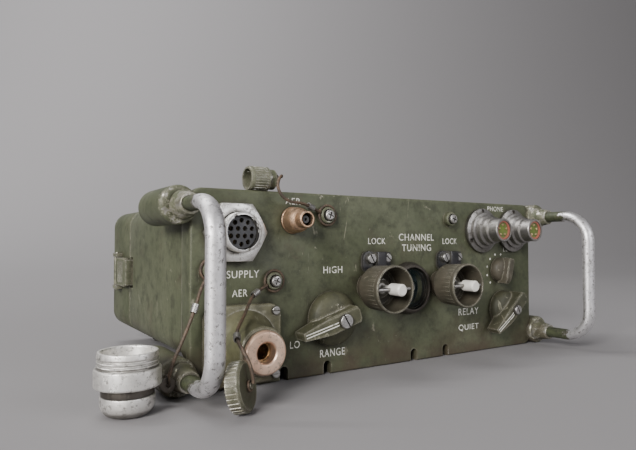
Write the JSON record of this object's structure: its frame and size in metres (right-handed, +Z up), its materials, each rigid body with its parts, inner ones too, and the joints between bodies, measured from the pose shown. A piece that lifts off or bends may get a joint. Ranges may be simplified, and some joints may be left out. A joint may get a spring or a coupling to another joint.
{
  "type": "walkie talkie",
  "caption": "Olive pack radio lying flat: control panel with handles, tuning knobs, dial and sockets, main case, latched battery case and lanyard caps.",
  "frame": {"origin": "under the middle of the radio, on the surface it lies on, leaving out the lanyards and their caps", "axes": "+X to the right seen from the control panel, +Y from the control panel towards the battery case, +Z up"},
  "size_m": [0.3174, 0.2216, 0.113],
  "materials": {
    "olive_paint": "satin, chipped",
    "knob_paint": "satin, rubbed bright at the edges",
    "dark_paint": "brown-green, worn",
    "bare_metal": "brushed by wear",
    "grey_metal": "dull plated",
    "steel": "dull",
    "copper": "worn copper tone",
    "insert_grey": "matte",
    "insert_green": "matte",
    "black_plastic": "satin",
    "dial_print": "matte",
    "lens": "clear",
    "rubber": "matte",
    "wire": "stained braided lanyard",
    "board": "matte",
    "battery": "card-like"
  },
  "bodies": {
    "radio_set": {"front_panel": "olive_paint", "transceiver_case": "olive_paint", "case_seals": "rubber", "handle_left": "bare_metal", "handle_right": "bare_metal", "handle_sockets": "olive_paint", "handle_ferrules": "dark_paint", "power_connector_nut": "bare_metal", "power_connector_shell": "grey_metal", "power_connector_insert": "insert_grey", "audio_barrels": "grey_metal", "audio_inserts": "insert_green", "connector_contacts": "copper", "whip_base": "olive_paint", "whip_insulator": "copper", "coax_base": "copper", "coax_barrel": "grey_metal", "coax_insulator": "insert_grey", "antenna_contacts": "copper", "dial_bezel": "black_plastic", "dial_lens": "lens", "dial_mask": "dial_print", "preset_blocks": "black_plastic", "panel_screws": "steel", "chassis": "grey_metal", "control_switches": "black_plastic", "circuit_modules": "board", "battery_connector": "copper", "lanyard_whip": "wire", "lanyard_power": "wire", "lanyard_coax": "wire", "lanyard_crimps": "bare_metal", "power_cap": "bare_metal", "power_cap_ring": "dark_paint", "whip_cap": "dark_paint", "coax_cap": "dark_paint"},
    "battery_box": {"battery_case": "olive_paint", "battery_pack": "battery", "latch_brackets": "dark_paint", "rear_feet": "rubber"},
    "latch_left": {"latch_left": "dark_paint"},
    "latch_right": {"latch_right": "dark_paint"},
    "band_selector": {"band_knob": "knob_paint", "band_spindle": "steel"},
    "function_selector": {"function_knob": "knob_paint", "function_spindle": "steel"},
    "volume_control": {"volume_knob": "knob_paint"},
    "tuning_left": {"tuning_knob_left": "dark_paint", "tuning_post_left": "steel", "dial_disc_left": "dial_print"},
    "tuning_right": {"tuning_knob_right": "dark_paint", "tuning_post_right": "steel", "dial_disc_right": "dial_print"},
    "tuning_capacitor": {"capacitor_rotor": "steel"},
    "preset_lock_left": {"preset_cam_left": "steel"},
    "preset_lock_right": {"preset_cam_right": "steel"},
    "fastener_near_power": {"captive_screw_near_power": "steel"},
    "fastener_near_whip": {"captive_screw_near_whip": "steel"},
    "fastener_near_coax": {"captive_screw_near_coax": "steel"},
    "fastener_near_audio": {"captive_screw_near_audio": "steel"}
  },
  "joints": [
    {"name": "band_turn", "type": "hinge", "parent": "radio_set", "child": "band_selector", "pos_m": [-0.047, -0.06295, 0.031], "axis": [0, 1, 0], "range_deg": [0, 107]},
    {"name": "function_turn", "type": "hinge", "parent": "radio_set", "child": "function_selector", "pos_m": [0.096, -0.06295, 0.0275], "axis": [0, 1, 0], "range_deg": [0, 80]},
    {"name": "volume_turn", "type": "hinge", "parent": "radio_set", "child": "volume_control", "pos_m": [0.0938, -0.06295, 0.054], "axis": [0, 1, 0], "range_deg": [-135, 135]},
    {"name": "tuning_left_turn", "type": "hinge", "parent": "radio_set", "child": "tuning_left", "pos_m": [-0.021, -0.06295, 0.0473], "axis": [0, 1, 0], "range_deg": [-150, 150]},
    {"name": "tuning_right_turn", "type": "hinge", "parent": "radio_set", "child": "tuning_right", "pos_m": [0.036, -0.06295, 0.047], "axis": [0, 1, 0], "range_deg": [-150, 150]},
    {"name": "capacitor_turn", "type": "hinge", "parent": "radio_set", "child": "tuning_capacitor", "pos_m": [0.012, -0.02295, 0.047], "axis": [0, 1, 0], "range_deg": [-76, 76]},
    {"name": "preset_left_turn", "type": "hinge", "parent": "radio_set", "child": "preset_lock_left", "pos_m": [-0.0209, -0.06295, 0.0636], "axis": [0, 1, 0], "range_deg": [0, 90]},
    {"name": "preset_right_turn", "type": "hinge", "parent": "radio_set", "child": "preset_lock_right", "pos_m": [0.0388, -0.06295, 0.0634], "axis": [0, 1, 0], "range_deg": [0, 90]},
    {"name": "screw_near_power_turn", "type": "hinge", "parent": "radio_set", "child": "fastener_near_power", "pos_m": [-0.118, -0.06295, 0.0596], "axis": [0, 1, 0], "continuous": true},
    {"name": "screw_near_whip_turn", "type": "hinge", "parent": "radio_set", "child": "fastener_near_whip", "pos_m": [-0.0833, -0.06295, 0.053], "axis": [0, 1, 0], "continuous": true},
    {"name": "screw_near_coax_turn", "type": "hinge", "parent": "radio_set", "child": "fastener_near_coax", "pos_m": [-0.05, -0.06295, 0.088], "axis": [0, 1, 0], "continuous": true},
    {"name": "screw_near_audio_turn", "type": "hinge", "parent": "radio_set", "child": "fastener_near_audio", "pos_m": [0.0459, -0.06295, 0.088], "axis": [0, 1, 0], "continuous": true},
    {"name": "battery_slide", "type": "slide", "parent": "radio_set", "child": "battery_box", "axis": [0, 1, 0], "range_m": [0, 0.06]},
    {"name": "latch_left_open", "type": "hinge", "parent": "battery_box", "child": "latch_left", "pos_m": [-0.1286, 0.08445, 0.053], "axis": [0, 0, -1], "range_deg": [0, 100]},
    {"name": "latch_right_open", "type": "hinge", "parent": "battery_box", "child": "latch_right", "pos_m": [0.1286, 0.08445, 0.053], "axis": [0, 0, 1], "range_deg": [0, 100]}
  ],
  "couplings": [
    {"joint": "capacitor_turn", "follows": "tuning_right_turn", "ratio": -0.5}
  ]
}
